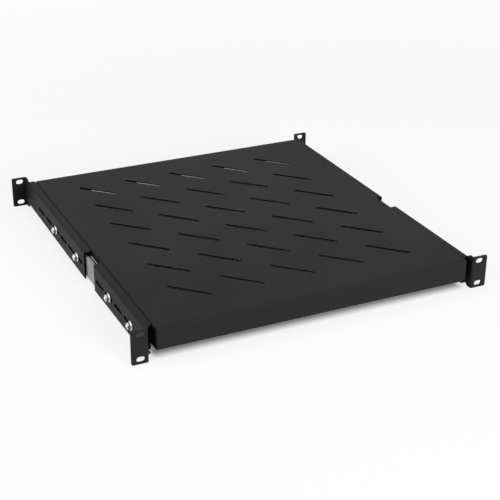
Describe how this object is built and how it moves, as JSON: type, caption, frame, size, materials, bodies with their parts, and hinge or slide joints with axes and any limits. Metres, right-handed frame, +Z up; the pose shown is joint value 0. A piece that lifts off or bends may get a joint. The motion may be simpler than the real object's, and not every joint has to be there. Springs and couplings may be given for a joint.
{
  "type": "sliding rack shelf",
  "caption": "Vented sheet-metal rack shelf that slides out on telescopic ball rails between slotted brackets with front and rear rack ears.",
  "frame": {"origin": "centre of the four front ear slots, on the plane where the front ears bear on the rack", "axes": "+X to the right seen from the front, +Y from the front ears to the rear ears, +Z up"},
  "size_m": [0.488, 0.504, 0.044],
  "materials": {
    "black_coat": "satin black powder coat",
    "rail_zinc": "zinc-plated rolled steel",
    "cage_steel": "plain steel strip, lightly greased",
    "ball_steel": "polished hardened steel",
    "fastener_zinc": "bright zinc plate",
    "bumper_nylon": "natural nylon"
  },
  "bodies": {
    "rack_frame": {"front_left_bracket": "black_coat", "front_right_bracket": "black_coat", "rear_left_bracket": "black_coat", "rear_right_bracket": "black_coat", "left_outer_rail": "rail_zinc", "left_bracket_studs": "fastener_zinc", "left_bracket_nuts": "fastener_zinc", "left_bumper": "bumper_nylon", "right_outer_rail": "rail_zinc", "right_bracket_studs": "fastener_zinc", "right_bracket_nuts": "fastener_zinc", "right_bumper": "bumper_nylon"},
    "tray": {"shelf_tray": "black_coat", "left_inner_rail": "rail_zinc", "left_tray_rivets": "fastener_zinc", "right_inner_rail": "rail_zinc", "right_tray_rivets": "fastener_zinc"},
    "left_middle": {"left_middle_rail": "rail_zinc"},
    "left_outer_ball_cage": {"left_outer_cage": "cage_steel", "left_outer_balls": "ball_steel"},
    "left_inner_ball_cage": {"left_inner_cage": "cage_steel", "left_inner_balls": "ball_steel"},
    "right_middle": {"right_middle_rail": "rail_zinc"},
    "right_outer_ball_cage": {"right_outer_cage": "cage_steel", "right_outer_balls": "ball_steel"},
    "right_inner_ball_cage": {"right_inner_cage": "cage_steel", "right_inner_balls": "ball_steel"}
  },
  "joints": [
    {"name": "tray_slide", "type": "slide", "parent": "rack_frame", "child": "tray", "axis": [0, -1, 0], "range_m": [0, 0.4]},
    {"name": "left_middle_slide", "type": "slide", "parent": "rack_frame", "child": "left_middle", "axis": [0, -1, 0], "range_m": [0, 0.2]},
    {"name": "left_outer_ball_cage_slide", "type": "slide", "parent": "rack_frame", "child": "left_outer_ball_cage", "axis": [0, -1, 0], "range_m": [0, 0.1]},
    {"name": "left_inner_ball_cage_slide", "type": "slide", "parent": "rack_frame", "child": "left_inner_ball_cage", "axis": [0, -1, 0], "range_m": [0, 0.3]},
    {"name": "right_middle_slide", "type": "slide", "parent": "rack_frame", "child": "right_middle", "axis": [0, -1, 0], "range_m": [0, 0.2]},
    {"name": "right_outer_ball_cage_slide", "type": "slide", "parent": "rack_frame", "child": "right_outer_ball_cage", "axis": [0, -1, 0], "range_m": [0, 0.1]},
    {"name": "right_inner_ball_cage_slide", "type": "slide", "parent": "rack_frame", "child": "right_inner_ball_cage", "axis": [0, -1, 0], "range_m": [0, 0.3]}
  ],
  "couplings": [
    {"joint": "left_middle_slide", "follows": "tray_slide", "ratio": 0.5},
    {"joint": "left_outer_ball_cage_slide", "follows": "tray_slide", "ratio": 0.25},
    {"joint": "left_inner_ball_cage_slide", "follows": "tray_slide", "ratio": 0.75},
    {"joint": "right_middle_slide", "follows": "tray_slide", "ratio": 0.5},
    {"joint": "right_outer_ball_cage_slide", "follows": "tray_slide", "ratio": 0.25},
    {"joint": "right_inner_ball_cage_slide", "follows": "tray_slide", "ratio": 0.75}
  ]
}
